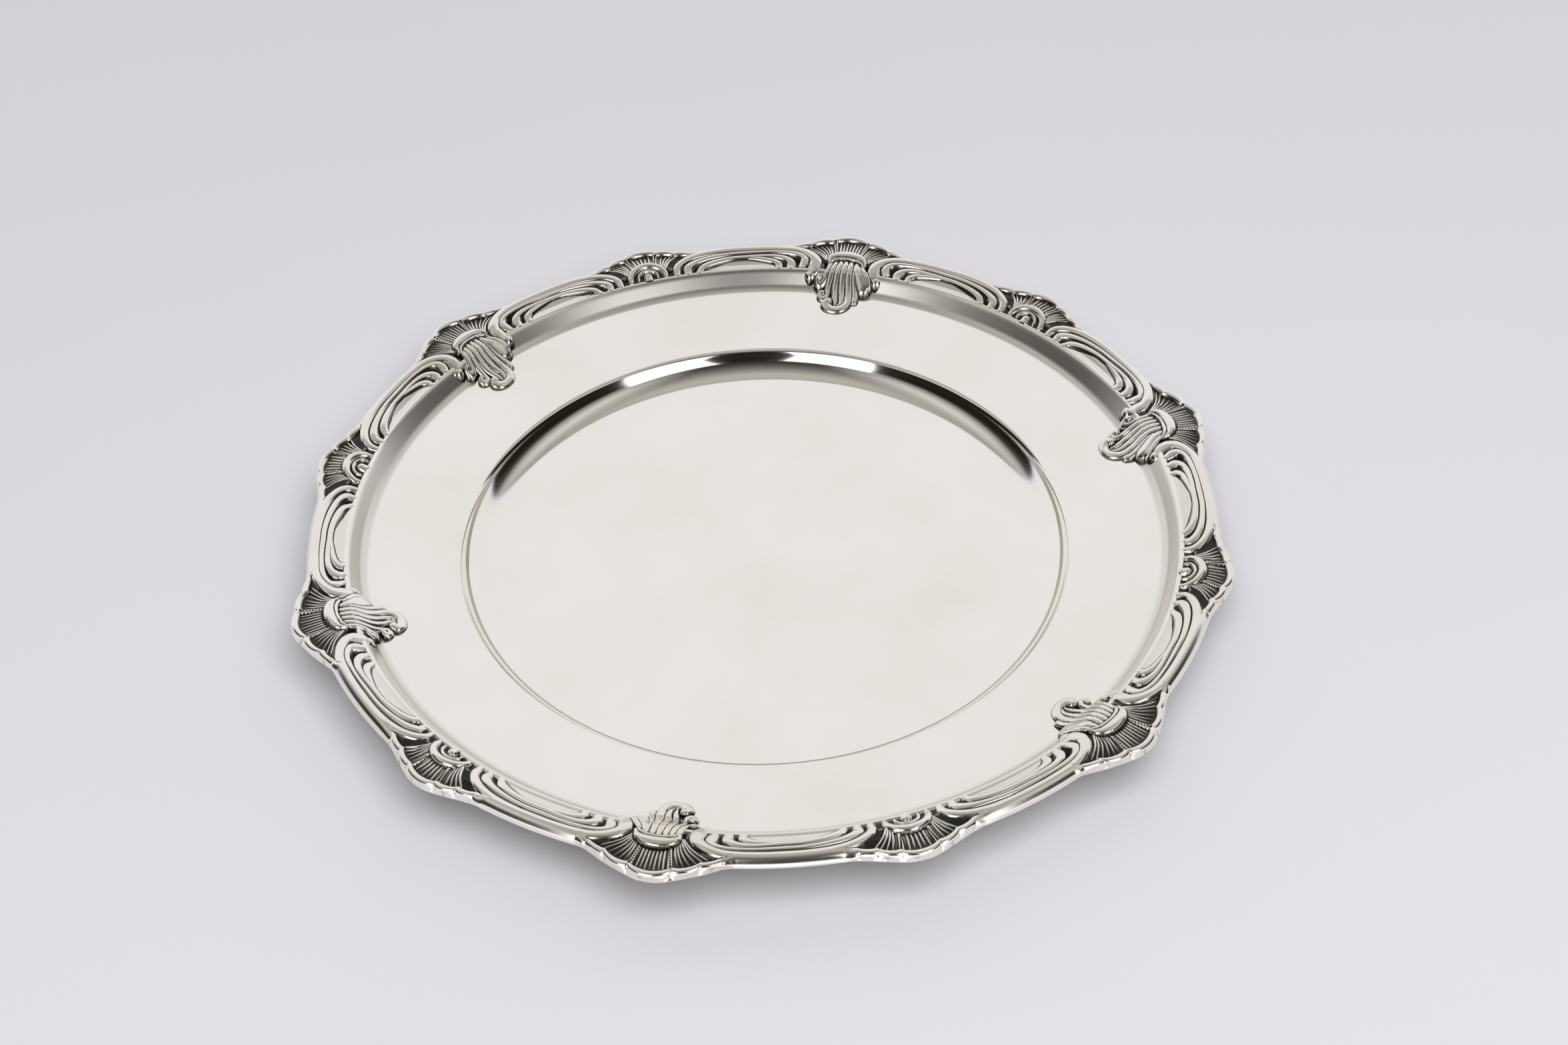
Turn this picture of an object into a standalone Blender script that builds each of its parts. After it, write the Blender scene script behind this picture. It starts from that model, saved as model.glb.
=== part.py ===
"""A round silver plate with a flat well, a plain raised rim and an applied cast border.

Frame: origin on the underside at the centre, +Z up, one large shell on +Y.
Places on the border are given as (along, radius): `along` is an arc length measured
clockwise from a large shell's middle on the bead circle, `radius` is from the axis.
Lengths are in millimetres and become metres in `place`.
"""

import bmesh
import bpy
from math import cos, hypot, pi, radians, sin, tau

MM = 0.001

# Driving dimensions
REPEATS = 6
SHEET = 1.1
GAP = 0.3
FLOOR_RADIUS = 78.3
WELL_RADIUS = 86.0
WELL_DEPTH = 5.7
RIM_RADIUS = 111.0
RIM_RISE = 3.2
LIP_INNER = 115.5
LIP_HEIGHT = 15.1
FLANGE_RADIUS = 120.6
BEAD_RADIUS = 118.0
SCROLL_EDGE = 127.0
CREST_HEIGHT = 17.1
SHELL_UNDERSIDE = 13.9
SHELL_FACE = 15.7
LARGE_SHELL_RADIUS = 133.3
SMALL_SHELL_RADIUS = 131.0
BODY_STEPS = 72

SMALL_SHELL_AT = pi / REPEATS * BEAD_RADIUS
WELL_EDGE_HEIGHT = SHEET + WELL_DEPTH
RIM_HEIGHT = WELL_EDGE_HEIGHT + RIM_RISE


# ---------------------------------------------------------------- scene and materials


def clear_scene():
    for thing in list(bpy.data.objects):
        bpy.data.objects.remove(thing, do_unlink=True)


def new_collection(name):
    made = bpy.data.collections.new(name)
    bpy.context.scene.collection.children.link(made)
    return made


def metal(name, colour, roughness):
    made = bpy.data.materials.new(name)
    made.use_nodes = True
    shader = made.node_tree.nodes["Principled BSDF"]
    shader.inputs["Base Color"].default_value = (*colour, 1.0)
    shader.inputs["Metallic"].default_value = 1.0
    shader.inputs["Roughness"].default_value = roughness
    return made


# ---------------------------------------------------------------- section of the body


def arc(centre, radius, start, end, steps):
    """Points on an arc in the section plane, from start to end degrees."""
    points = []
    for step in range(steps + 1):
        angle = radians(start + (end - start) * step / steps)
        points.append((centre[0] + radius * cos(angle), centre[1] + radius * sin(angle)))
    return points


def top_section():
    """The upper surface of the body as (radius, height), from the axis to the flange's edge."""
    wall_run = WELL_RADIUS - FLOOR_RADIUS
    wall = [
        (FLOOR_RADIUS + wall_run * sin(angle), SHEET + (WELL_DEPTH - 0.9) * (1 - cos(angle)))
        for angle in (pi / 2 * step / 5 for step in range(6))
    ]
    shoulder = [
        (WELL_RADIUS + 0.5, WELL_EDGE_HEIGHT - 0.25),
        (WELL_RADIUS + 1.8, WELL_EDGE_HEIGHT + 0.1),
    ]
    cove_run = LIP_INNER - RIM_RADIUS
    cove_rise = LIP_HEIGHT - RIM_HEIGHT
    cove = [
        (RIM_RADIUS + cove_run * sin(angle), RIM_HEIGHT + cove_rise * (1 - cos(angle)))
        for angle in (pi / 2 * 0.92 * step / 4 for step in range(5))
    ]
    lip = [(LIP_INNER + 0.35, LIP_HEIGHT), (FLANGE_RADIUS, LIP_HEIGHT)]
    return [(0.0, SHEET)] + wall + shoulder + cove + lip


def direction(start, end):
    length = hypot(end[0] - start[0], end[1] - start[1])
    return (end[0] - start[0]) / length, (end[1] - start[1]) / length


def underside(section, thickness):
    """The same line moved down its normals by the sheet's thickness."""
    moved = []
    for at, (radius, height) in enumerate(section):
        before = direction(section[max(at - 1, 0)], section[max(at, 1)])
        after = direction(section[min(at, len(section) - 2)], section[min(at + 1, len(section) - 1)])
        normal = (before[1] + after[1], -before[0] - after[0])
        length = hypot(*normal)
        stretch = 2 / (length * length)
        out, up = normal[0] * thickness * stretch, normal[1] * thickness * stretch
        moved.append((radius + out, height + up))
    moved[0] = (0.0, section[0][1] - thickness)
    return moved


def body_height(radius):
    """Height of the body's upper surface at a radius."""
    section = top_section()
    for (near, low), (far, high) in zip(section, section[1:]):
        if radius <= far:
            share = max(radius - near, 0.0) / (far - near)
            return low + (high - low) * share
    return LIP_HEIGHT


# ---------------------------------------------------------------- shapes


def place(along, radius, height):
    """A border place as a point in metres."""
    angle = pi / 2 - along / BEAD_RADIUS
    return (radius * cos(angle) * MM, radius * sin(angle) * MM, height * MM)


def mesh_from_curve(curve, name, flatten=1.0):
    """Makes a curve's mesh with welded caps; flatten scales its height."""
    holder = bpy.data.objects.new(name, curve)
    bpy.context.scene.collection.objects.link(holder)
    graph = bpy.context.evaluated_depsgraph_get()
    mesh = bpy.data.meshes.new_from_object(holder.evaluated_get(graph))
    bpy.data.objects.remove(holder, do_unlink=True)
    bpy.data.curves.remove(curve)
    shaper = bmesh.new()
    shaper.from_mesh(mesh)
    bmesh.ops.remove_doubles(shaper, verts=shaper.verts, dist=0.00001)
    for corner in shaper.verts:
        corner.co.z *= flatten
    bmesh.ops.recalc_face_normals(shaper, faces=shaper.faces)
    shaper.to_mesh(mesh)
    shaper.free()
    mesh.name = name
    return mesh


def ridge(name, path, thickness, sides=1, flatten=0.75):
    """A round-topped ridge along (along, radius, top height, width share) points."""
    curve = bpy.data.curves.new(name, "CURVE")
    curve.dimensions = "3D"
    curve.bevel_depth = thickness * MM
    curve.bevel_resolution = sides
    curve.use_fill_caps = True
    spline = curve.splines.new("POLY")
    spline.points.add(len(path) - 1)
    for point, (along, radius, top, share) in zip(spline.points, path):
        x, y, z = place(along, radius, top / flatten - thickness * share)
        point.co = (x, y, z, 1.0)
        point.radius = share
    return mesh_from_curve(curve, name, flatten)


def plate_slab(name, outline, bottom, top):
    """A flat plate between two heights from a closed outline of (along, radius) points."""
    curve = bpy.data.curves.new(name, "CURVE")
    curve.dimensions = "2D"
    curve.fill_mode = "BOTH"
    curve.extrude = (top - bottom) / 2 * MM
    spline = curve.splines.new("POLY")
    spline.points.add(len(outline) - 1)
    spline.use_cyclic_u = True
    for point, (along, radius) in zip(spline.points, outline):
        x, y, _ = place(along, radius, 0.0)
        point.co = (x, y, 0.0, 1.0)
    mesh = mesh_from_curve(curve, name)
    for corner in mesh.vertices:
        corner.co.z += (top + bottom) / 2 * MM
    return mesh


def ball(name, along, radius, height, size, flatten):
    mesh = bpy.data.meshes.new(name)
    shaper = bmesh.new()
    bmesh.ops.create_uvsphere(shaper, u_segments=8, v_segments=4, radius=size * MM)
    x, y, z = place(along, radius, height)
    for corner in shaper.verts:
        corner.co = (corner.co.x + x, corner.co.y + y, corner.co.z * flatten + z)
    shaper.to_mesh(mesh)
    shaper.free()
    return mesh


def turned(name, profile, steps):
    """A full turn of a (radius, height) line that starts and ends on the axis."""
    mesh = bpy.data.meshes.new(name)
    points = [(radius * MM, 0.0, height * MM) for radius, height in profile]
    mesh.from_pydata(points, [(at, at + 1) for at in range(len(points) - 1)], [])
    made = bpy.data.objects.new(name, mesh)
    screw = made.modifiers.new("turn", "SCREW")
    screw.steps = steps
    screw.render_steps = steps
    screw.use_merge_vertices = True
    screw.merge_threshold = 0.00001
    return made


def joined(name, meshes, guides):
    """One closed mesh from overlapping ones, by Boolean unions on the first."""
    holders = []
    for at, mesh in enumerate(meshes):
        holder = bpy.data.objects.new(f"{name}_shape_{at}", mesh)
        holder.hide_render = True
        holder.display_type = "WIRE"
        guides.objects.link(holder)
        holders.append(holder)
    for tool in holders[1:]:
        union = holders[0].modifiers.new(tool.name, "BOOLEAN")
        union.operation = "UNION"
        union.solver = "EXACT"
        union.use_self = True
        union.object = tool
    graph = bpy.context.evaluated_depsgraph_get()
    graph.update()
    mesh = bpy.data.meshes.new_from_object(holders[0].evaluated_get(graph))
    mesh.name = name
    shaper = bmesh.new()
    shaper.from_mesh(mesh)
    bmesh.ops.remove_doubles(shaper, verts=shaper.verts, dist=0.000002)
    bmesh.ops.dissolve_limit(shaper, angle_limit=radians(1), verts=shaper.verts, edges=shaper.edges)
    shaper.to_mesh(mesh)
    shaper.free()
    return mesh


def mirrored(mesh, name):
    """The same casting seen in a mirror across the plane through +Y and +Z."""
    other = mesh.copy()
    other.name = name
    shaper = bmesh.new()
    shaper.from_mesh(other)
    for corner in shaper.verts:
        corner.co.x = -corner.co.x
    bmesh.ops.reverse_faces(shaper, faces=shaper.faces)
    shaper.to_mesh(other)
    shaper.free()
    return other


def repeat(name, mesh, material, parts):
    """Sets one object for each of the six repeats, clockwise from +Y."""
    mesh.materials.clear()
    mesh.materials.append(material)
    mesh.shade_smooth()
    mesh.set_sharp_from_angle(angle=radians(30))
    for turn in range(REPEATS):
        made = bpy.data.objects.new(f"{name}_{turn + 1}", mesh)
        made.rotation_euler.z = -turn * tau / REPEATS
        parts.objects.link(made)


# ---------------------------------------------------------------- sub-parts


def plate_body(parts):
    """The spun body: floor, wall, shoulder, rim, cove, lip and flange, one sheet thick."""
    section = top_section()
    line = section + underside(section, SHEET)[::-1]
    body = turned("plate_body", line, BODY_STEPS)
    body.data.materials.append(metal("spun_silver", (0.86, 0.84, 0.80), 0.12))
    body.data.shade_smooth()
    parts.objects.link(body)


def scroll_mesh(guides):
    """The right-hand scroll: a curved strip with two long ridges that fork into hooked ends."""
    edge = [(18.0 + 27.5 * step / 7, SCROLL_EDGE - 0.5) for step in range(8)]
    foot = [(45.0, 120.6), (46.2, 117.4), (20.0, 117.4), (20.6, 120.6), (17.0, 122.6)]
    strip = plate_slab("strip", edge + foot, LIP_HEIGHT + GAP, LIP_HEIGHT + GAP + 0.8)
    bulb = body_height(115.2) + GAP + 1.5
    low = LIP_HEIGHT + GAP + 0.7
    crest = CREST_HEIGHT
    outer = [
        (10.8, 113.7, bulb, 0.65),
        (9.3, 115.8, crest + 0.1, 0.8),
        (8.6, 117.3, crest + 0.1, 0.85),
        (9.6, 120.4, crest + 0.1, 0.85),
        (12.2, 122.9, crest, 0.85),
        (16.5, 124.4, crest, 0.8),
        (24.0, 125.4, crest, 0.85),
        (34.0, 125.6, crest, 0.85),
        (42.0, 124.9, crest, 0.8),
        (47.0, 123.7, crest, 0.75),
        (50.6, 121.8, crest - 0.2, 0.7),
        (52.5, 119.5, crest - 0.5, 0.6),
        (52.3, 117.7, low, 0.42),
    ]
    inner = [
        (16.7, 117.8, low, 0.4),
        (17.3, 119.4, low + 0.3, 0.5),
        (20.0, 121.2, crest - 0.6, 0.6),
        (26.0, 122.3, crest - 0.5, 0.75),
        (34.0, 122.2, crest - 0.5, 0.75),
        (40.5, 120.8, crest - 0.6, 0.65),
        (44.2, 119.2, low + 0.3, 0.5),
        (45.6, 117.8, low, 0.4),
    ]
    hooks = [
        [(12.9, 118.2, low, 0.4), (12.8, 120.0, low + 0.4, 0.5), (16.5, 122.8, crest - 0.5, 0.5)],
        [(20.6, 117.8, low, 0.4), (21.4, 119.4, low + 0.2, 0.45), (26.0, 121.2, crest - 0.8, 0.45)],
        [(49.0, 117.9, low, 0.4), (48.9, 119.7, low + 0.4, 0.5), (44.0, 122.8, crest - 0.5, 0.5)],
    ]
    meshes = [strip, ridge("outer", outer, 1.5, 1, 0.6), ridge("inner", inner, 1.3, 0, 0.6)]
    meshes += [ridge("hook", path, 1.2, 0, 0.6) for path in hooks]
    return joined("scroll", meshes, guides)


def lobed_edge(lobes, steps):
    """Points round a scalloped edge; each lobe is (from, to, radius at both ends, crest radius)."""
    points = []
    for start, end, low_start, low_end, crest in lobes:
        for step in range(steps):
            share = step / steps
            low = low_start + (low_end - low_start) * share
            points.append((start + (end - start) * share, low + (crest - low) * sin(pi * share) ** 0.7))
    points.append((lobes[-1][1], lobes[-1][3]))
    return points


def both_sides(lobes):
    """Adds the mirrored lobes of the left side to a centre lobe and its right-hand ones."""
    left = [
        (-end, -start, low_end, low_start, crest)
        for start, end, low_start, low_end, crest in lobes[1:]
    ]
    return left[::-1] + lobes


def shell_mesh(name, middle, lobes, ribs, inner, extra, guides):
    """A shell: a plate with a scalloped rolled edge and raised ribs, and any extra shapes."""
    edge = lobed_edge(both_sides(lobes), 4)
    outline = [(middle + along, radius - 0.5) for along, radius in edge]
    outline += [(middle + along, radius) for along, radius in inner]
    plate = plate_slab("plate", outline, SHELL_UNDERSIDE, SHELL_FACE)
    top = LIP_HEIGHT + 1.5
    roll_path = [(middle + along, radius - 0.75, top, 1.0) for along, radius in edge]
    roll = ridge("roll", roll_path, 0.75, 0, 1.0)
    meshes = [plate, roll]
    for (start, near), (end, far) in ribs:
        path = [(middle + start, near, top - 0.2, 0.8), (middle + end, far, top, 1.0)]
        meshes.append(ridge("rib", path, 0.6, 0, 1.0))
    return joined(name, meshes + extra, guides)


def large_shell_mesh(guides):
    lobes = [
        (-4.7, 4.7, 130.4, 130.4, LARGE_SHELL_RADIUS),
        (4.7, 10.2, 130.4, 128.2, 130.9),
        (10.2, 16.0, 128.2, 126.7, 128.4),
    ]
    side = [(14.4, 126.0), (10.6, 124.5), (7.3, 121.7), (6.1, 122.8), (4.4, 125.0)]
    inner = side + [(0.0, 125.3)] + [(-along, radius) for along, radius in side[::-1]]
    ribs = [
        ((along * 0.8, 125.6), (along, far))
        for along, far in ((-10.0, 128.0), (-4.9, 129.8), (4.9, 129.8), (10.0, 128.0))
    ]
    return shell_mesh("shell_large", 0.0, lobes, ribs, inner, [], guides)


def small_shell_mesh(guides):
    middle = SMALL_SHELL_AT
    lobes = [
        (-4.3, 4.3, 128.9, 128.9, SMALL_SHELL_RADIUS),
        (4.3, 9.4, 128.9, 126.9, 129.4),
        (9.4, 14.0, 126.9, 126.3, 127.4),
    ]
    side = [(12.6, 125.5), (9.0, 123.0), (6.6, 121.1)]
    inner = side + [(-along, radius) for along, radius in side[::-1]]
    ribs = [((-3.6, 123.5), (-4.2, 128.6)), ((3.6, 123.5), (4.2, 128.6))]
    ribs += [((-7.4, 123.0), (-9.0, 126.6)), ((7.4, 123.0), (9.0, 126.6))]
    seat = LIP_HEIGHT + GAP
    apse = [(middle + 5.2 * along, 117.5 + 5.2 * rise) for along, rise in arc((0, 0), 1.0, 0, 180, 6)]
    apse = plate_slab("apse", apse, seat, seat + 0.8)
    band = [
        (middle + 4.6 * along, 118.0 + 4.6 * rise, seat + 1.5, 1.0)
        for along, rise in arc((0, 0), 1.0, 0, 180, 6)
    ]
    band = ridge("band", band, 0.95, 1, 0.75)
    bead = ball("bead", middle, 118.9, seat + 1.0, 1.3, 0.7)
    return shell_mesh("shell_small", middle, lobes, ribs, inner, [apse, band, bead], guides)


def strand(places, thickness):
    """A leaf strand that follows the body's surface at each (along, radius, share) place."""
    flatten = 0.7
    path = []
    for along, radius, share in places:
        depth = 2 * thickness * share * flatten
        path.append((along, radius, body_height(radius + 1.6) + GAP + 0.25 + depth, share))
    return ridge("strand", path, thickness, 0, flatten)


def plume_mesh(guides):
    """The collar of a large shell and the leaf plume that lies inward over lip and rim."""
    seat = LIP_HEIGHT + GAP
    pad = [
        (-4.4, 117.8), (-4.9, 120.0), (-3.4, 122.4), (0.0, 123.2),
        (3.4, 122.4), (4.9, 120.0), (4.4, 117.8),
    ]
    pad = plate_slab("pad", pad, seat, seat + 0.9)
    bow = [(-5.0, 121.0), (-3.2, 122.7), (0.0, 123.4), (3.2, 122.7), (5.0, 121.0)]
    shares = (0.5, 0.9, 1.0, 0.9, 0.5)
    collar = [(along, radius, seat + 2.0, share) for (along, radius), share in zip(bow, shares)]
    collar = ridge("collar", collar, 1.3, 1, 0.75)
    strands = [
        ([(0.2, 121.0, 0.8), (0.3, 117.5, 1.0), (0.5, 114.0, 1.0), (0.8, 110.5, 0.95), (0.3, 107.0, 0.7),
          (-1.6, 104.3, 0.5), (-4.2, 104.4, 0.35)], 1.5),
        ([(-2.8, 119.5, 0.8), (-2.9, 116.0, 1.0), (-3.0, 113.6, 0.9), (-5.4, 112.7, 0.6)], 1.2),
        ([(-1.9, 114.5, 0.9), (-2.1, 111.0, 1.0), (-3.2, 108.6, 0.8), (-5.4, 108.6, 0.5)], 1.2),
        ([(3.0, 119.5, 0.8), (3.6, 115.6, 1.0), (5.2, 112.6, 1.0), (7.6, 110.6, 0.9)], 1.5),
        ([(1.8, 113.0, 0.8), (2.6, 109.8, 1.0), (4.4, 107.4, 0.8)], 1.2),
    ]
    meshes = [pad, collar] + [strand(places, thickness) for places, thickness in strands]
    return joined("plume", meshes, guides)


def main():
    clear_scene()
    parts = new_collection("paten_plate")
    guides = new_collection("guides")
    plate_body(parts)
    cast_shell = metal("cast_silver_shell", (0.62, 0.61, 0.60), 0.25)
    cast_leaf = metal("cast_silver_leaf", (0.74, 0.72, 0.69), 0.22)
    cast_scroll = metal("cast_silver_scroll", (0.82, 0.80, 0.76), 0.18)
    repeat("shell_large", large_shell_mesh(guides), cast_shell, parts)
    repeat("plume", plume_mesh(guides), cast_leaf, parts)
    scroll = scroll_mesh(guides)
    repeat("scroll_right", scroll, cast_scroll, parts)
    repeat("scroll_left", mirrored(scroll, "scroll_mirrored"), cast_scroll, parts)
    repeat("shell_small", small_shell_mesh(guides), cast_shell, parts)


main()
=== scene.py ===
"""Looks of the silver plate: a spun body and a cast border of shells, plumes and scrolls.

The border is one relief, worked out on a polar grid and split into its castings. A place on
it is (along, radius): `along` is an arc in millimetres on the bead circle, clockwise from the
middle of a large shell, and `radius` is from the axis. Heights are above the lip's plane.
Numbers are millimetres, but for the studio, which is in metres.
"""

from math import cos, pi, radians, sin, tau

import bpy
import numpy as np
from mathutils import Matrix, Vector


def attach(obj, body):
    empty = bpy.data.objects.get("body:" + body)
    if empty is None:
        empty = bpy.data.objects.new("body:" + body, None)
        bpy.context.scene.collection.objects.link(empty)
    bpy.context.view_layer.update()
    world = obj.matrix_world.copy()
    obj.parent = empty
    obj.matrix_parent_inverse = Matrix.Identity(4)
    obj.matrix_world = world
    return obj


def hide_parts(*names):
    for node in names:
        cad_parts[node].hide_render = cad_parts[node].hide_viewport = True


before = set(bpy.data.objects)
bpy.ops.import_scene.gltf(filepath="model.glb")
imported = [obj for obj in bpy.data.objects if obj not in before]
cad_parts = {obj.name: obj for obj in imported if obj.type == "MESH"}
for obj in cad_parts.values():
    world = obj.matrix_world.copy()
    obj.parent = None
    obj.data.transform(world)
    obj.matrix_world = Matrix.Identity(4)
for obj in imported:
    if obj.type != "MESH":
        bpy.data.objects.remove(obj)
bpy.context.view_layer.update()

MM = 0.001
REPEATS = 6
BEAD_RADIUS = 118.0
SMALL_SHELL_AT = pi / REPEATS * BEAD_RADIUS
LIP_HEIGHT = 15.1
SHEET = 1.1


# ---------------------------------------------------------------- curves and profiles


def smooth_path(points, steps=7):
    """Catmull-Rom samples through rows of numbers, whatever each row holds."""
    rows = np.asarray(points, dtype=float)
    rows = np.vstack([2 * rows[0] - rows[1], rows, 2 * rows[-1] - rows[-2]])
    samples = []
    for before, start, end, after in zip(rows, rows[1:], rows[2:], rows[3:]):
        for t in np.arange(steps) / steps:
            samples.append(
                0.5
                * (
                    2 * start
                    + (end - before) * t
                    + (2 * before - 5 * start + 4 * end - after) * t**2
                    + (3 * start - before - 3 * end + after) * t**3
                )
            )
    samples.append(rows[-2])
    return np.array(samples)


def flat(along, radius):
    """Plan coordinates in millimetres, +Y through the middle of a large shell."""
    angle = np.asarray(along) / BEAD_RADIUS
    return np.asarray(radius) * np.sin(angle), np.asarray(radius) * np.cos(angle)


def folded(signed):
    """Distance along the border from the nearest large shell, on either side of it."""
    along = np.abs(signed)
    return np.where(along > SMALL_SHELL_AT, 2 * SMALL_SHELL_AT - along, along)


def ease(low, high, value):
    """0 up to `low`, 1 from `high` on, and a smooth step between them."""
    share = np.clip((value - low) / (high - low), 0.0, 1.0)
    return share * share * (3 - 2 * share)


def profile_arc(start, radius, first, last, steps=12):
    """Points (radius, height) of a concave bend whose slope goes from `first` to `last` degrees."""
    slopes = np.radians(np.linspace(first, last, steps))
    across = radius * (np.sin(slopes) - np.sin(slopes[0]))
    up = radius * (np.cos(slopes[0]) - np.cos(slopes))
    return [(start[0] + x, start[1] + y) for x, y in zip(across, up)]


# The body's upper line from the well outwards, as (radius, height): floor and wall, shoulder,
# rim, cove, and the lip that turns down under the castings.
WELL_BEND = profile_arc((77.3, -14.0), 8.45, 0.0, 69.0)
COVE_BEND = profile_arc((110.7, -5.02), 3.4, 7.3, 55.0)
BODY_TOP = np.array(
    [(70.0, -14.0)] + WELL_BEND
    + [(85.45, -8.35), (85.75, -8.2), (86.2, -8.1), (87.0, -8.02)]
    + [(96.0, -6.87), (104.0, -5.87), (109.0, -5.24), (110.3, -5.07)] + COVE_BEND
    + [(114.66, -1.3), (115.0, -0.86), (115.35, -0.48), (115.7, -0.18), (116.05, 0.01)]
    + [(116.4, 0.08), (116.7, -0.02), (117.1, -0.5), (118.0, -0.85)]
)
# The sheet's underside stops short of the fold, and both run to the flange's edge.
FLANGE_FOLD = 116.5
FLANGE_EDGE = [(120.8, -1.0), (120.8, -1.25)]
BODY_STEPS = 360
# The cove's satin band, rougher, with its colour painted darker as shade, as radii and shares.
SATIN_AND_SHADE_BAND = ((110.3, 111.4, 115.2, 115.7), (0.0, 1.0, 1.0, 0.0))


def body_height(radius):
    """Height of the body's upper side."""
    return np.interp(radius, BODY_TOP[:, 0], BODY_TOP[:, 1])


# ---------------------------------------------------------------- relief of the border

# The cast band's grid runs out from the cove's edge, and the leaf's grid from the plume's tip to
# the same edge, as far as LEAF_REACH to either side.
COLUMNS_PER_HALF = 440
COLUMN = SMALL_SHELL_AT / COLUMNS_PER_HALF
COVE_EDGE = 115.9
OUTER_ROWS, EVENED_ROWS = 96, 8
LEAF_ROWS = 130
LEAF_TIP = 101.5
LEAF_REACH = 13.0
# A height below everything, for where a ridge isn't.
NOWHERE = -20.0

# The castings of one repeat: the number that marks each on the grids, its name, and its CAD node.
BARE_RIM, LARGE_SHELL, RIGHT_SCROLL, PLUME, SMALL_SHELL, LEFT_SCROLL = range(6)
CASTINGS = (
    (LARGE_SHELL, "large_shell", "shell_large"), (RIGHT_SCROLL, "right_scroll", "scroll_right"),
    (PLUME, "plume", "plume"), (SMALL_SHELL, "small_shell", "shell_small"),
    (LEFT_SCROLL, "left_scroll", "scroll_left"),
)

# The right-hand scroll's ridges as rows of (along, radius, crest height, half width).
SCROLL_EDGE = [
    (10.5, 115.2, -0.3, 2.1), (9.9, 116.3, 0.4, 2.15), (9.4, 117.7, 1.1, 2.1),
    (9.3, 119.4, 1.55, 1.95), (10.3, 121.2, 1.9, 1.7), (13.0, 123.1, 2.1, 1.5),
    (17.0, 124.3, 2.1, 1.5), (23.0, 124.7, 2.1, 1.6), (30.0, 124.8, 2.1, 1.7),
    (37.0, 124.7, 2.1, 1.6), (43.0, 124.1, 2.05, 1.45), (47.6, 122.9, 1.9, 1.35),
    (50.9, 121.1, 1.6, 1.35), (52.4, 119.2, 1.1, 1.35), (52.6, 117.0, 0.4, 1.15),
]
SCROLL_INNER = [
    (16.9, 117.0, 0.35, 1.35), (16.9, 118.8, 0.95, 1.45), (18.2, 120.2, 1.3, 1.2),
    (21.0, 121.0, 1.5, 1.0), (25.0, 121.1, 1.6, 0.85), (30.0, 120.8, 1.65, 0.9),
    (35.0, 120.7, 1.6, 0.9), (40.5, 119.9, 1.4, 1.1), (44.0, 118.7, 1.0, 1.25),
    (45.6, 117.0, 0.35, 1.2),
]
SCROLL_MIDDLE = [
    (13.4, 117.3, 0.5, 1.2), (12.7, 119.2, 1.2, 1.45), (12.9, 120.7, 1.5, 1.3),
    (14.4, 121.8, 1.75, 1.05), (17.5, 122.5, 1.9, 0.85), (23.0, 122.7, 1.95, 0.7),
    (30.0, 122.5, 1.95, 0.8), (36.0, 122.4, 1.9, 0.8), (42.0, 121.7, 1.8, 0.9),
    (46.4, 120.6, 1.5, 1.15), (48.9, 119.1, 1.1, 1.4), (49.2, 117.0, 0.35, 1.2),
]
SCROLL_HOOK = [
    (20.6, 117.0, 0.35, 1.3), (20.9, 118.4, 0.8, 1.3), (22.8, 119.5, 1.1, 1.05),
    (26.5, 120.1, 1.35, 0.85), (30.0, 120.6, 1.5, 0.8), (32.0, 120.8, 1.55, 0.7),
]
SCROLL_PANEL = [
    (20.4, 116.0), (21.3, 118.5), (24.0, 119.6), (30.0, 120.2), (36.0, 120.0), (41.0, 119.2),
    (45.2, 116.0),
]

# The ground between the ridges, as radii and heights there.
LIP_GROUND = ((0, 115.9, 116.9, 200), (-1.0, -0.35, -0.3, -0.3))
SCROLL_GROUND = (
    (115.9, 116.9, 117.5, 120.5, 122, 123.5, 130),
    (-0.4, -0.4, -0.55, -0.35, 0.2, 0.9, 0.9),
)
PANEL_GROUND = (
    (115.9, 116.2, 116.5, 117.2, 118.2, 119.2, 120.2, 123),
    (-0.4, -0.1, 0.05, -0.02, 0.02, 0.4, 1.0, 1.4),
)
SHELL_GROUND = ((116.9, 117.5, 121, 124), (-0.4, -0.5, -0.1, 0.3))
ARCH_GROUND = ((116.8, 117.2, 120, 123), (-0.4, -0.3, 0.1, 0.6))
GROUND_OXIDE, PANEL_OXIDE, ARCH_OXIDE = 0.85, 0.12, 0.9
FAN_START = 119.5

# How far each ridge falls to its half width, and how far its flank falls beyond that.
STRAND_DROP, STRAND_FLANK = 0.8, 1.3
EDGE_DROP, EDGE_FLANK = 1.1, 0.9

# Half of the small shell's arch, thin ring and bead, with `along` from the shell's middle.
ARCH = [
    (5.6, 117.3, 0.5, 0.9), (5.4, 118.8, 1.2, 1.05), (4.3, 120.5, 1.9, 1.1),
    (2.4, 121.7, 2.3, 1.15), (0.0, 122.2, 2.45, 1.2),
]
RING = [
    (3.1, 117.3, 0.5, 0.4), (2.9, 118.6, 1.0, 0.45), (1.8, 119.7, 1.35, 0.48),
    (0.0, 120.2, 1.5, 0.5),
]
BEAD = [(0.0, 116.9, 0.85, 1.5), (0.0, 118.0, 1.3, 1.4)]
ARCH_DROP, RING_DROP, BEAD_DROP = 1.1, 0.5, 1.2

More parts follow.
